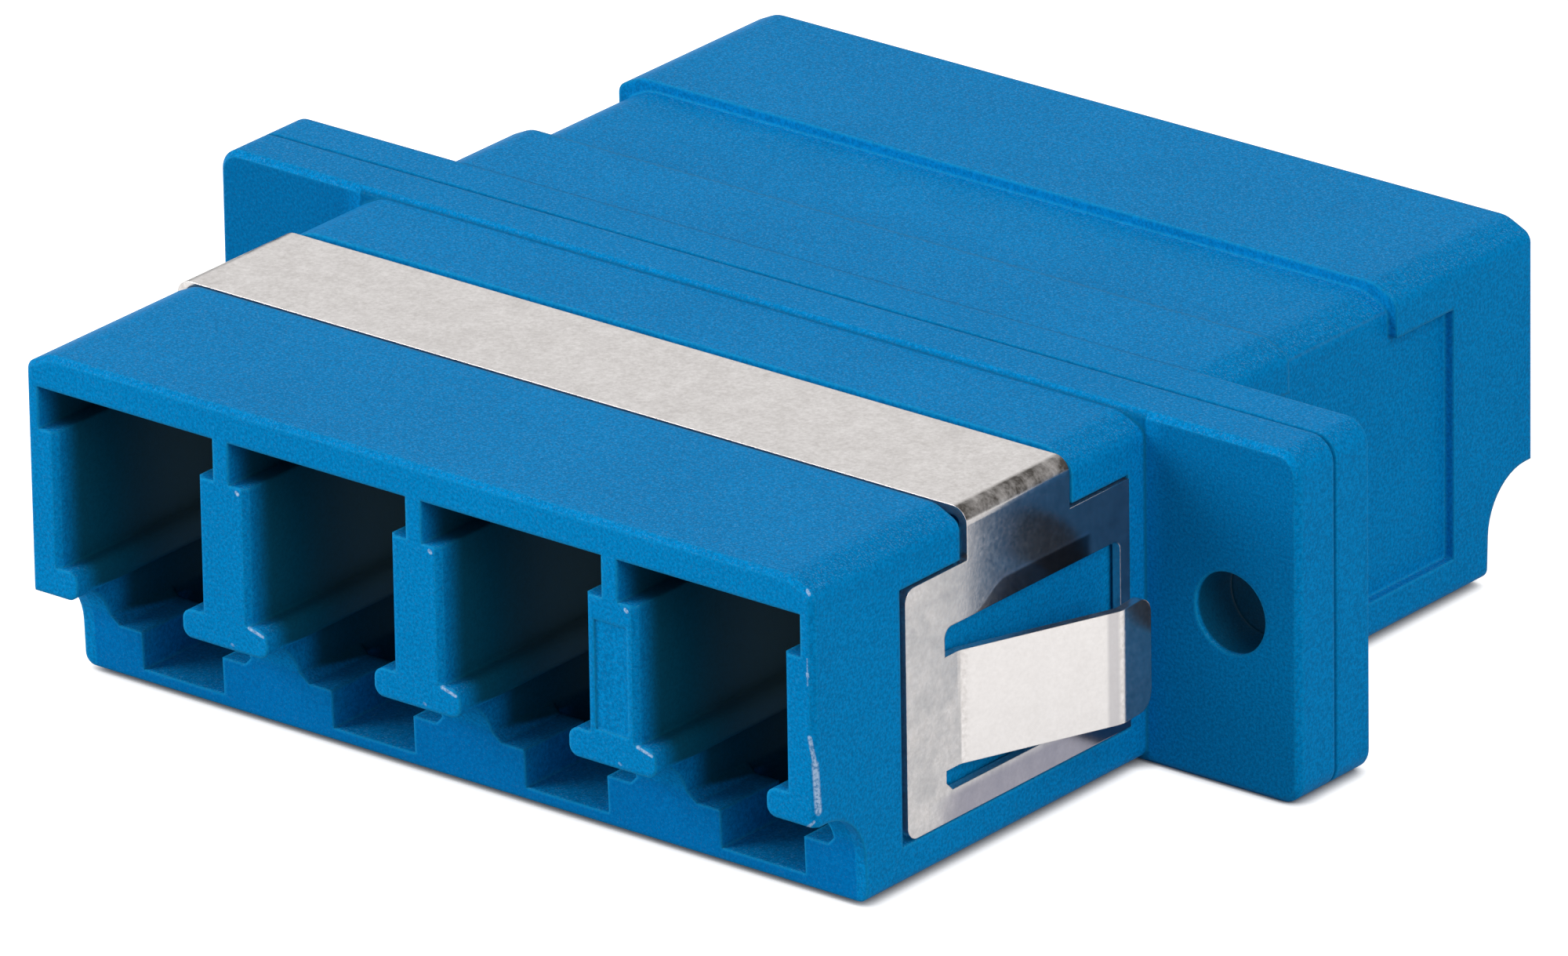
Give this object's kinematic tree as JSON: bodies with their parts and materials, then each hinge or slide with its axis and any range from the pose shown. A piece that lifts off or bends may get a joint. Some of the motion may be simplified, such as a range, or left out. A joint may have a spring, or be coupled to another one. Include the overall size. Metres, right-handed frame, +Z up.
{
  "type": "fibre optic adapter",
  "caption": "Flanged fibre adapter block: a row of ports at both ends, two joined moulded halves, a folded spring clip with side tabs and a split sleeve on each port axis.",
  "frame": {"origin": "middle of the line between the two screw holes, in the plane where the flange halves meet", "axes": "+X along the row of ports, -Y towards the end with the clip, +Z up"},
  "size_m": [0.0348, 0.0296, 0.0094],
  "materials": {
    "blue_plastic": "moulded, fine spark texture on the broad faces",
    "spring_steel": "cold rolled stainless sheet, satin, with bright cut edges",
    "sleeve_ceramic": "ground white ceramic"
  },
  "bodies": {
    "root": {"front_housing": "blue_plastic", "rear_housing": "blue_plastic", "retaining_clip": "spring_steel", "split_sleeve_1": "sleeve_ceramic", "split_sleeve_2": "sleeve_ceramic", "split_sleeve_3": "sleeve_ceramic", "split_sleeve_4": "sleeve_ceramic"}
  },
  "joints": []
}
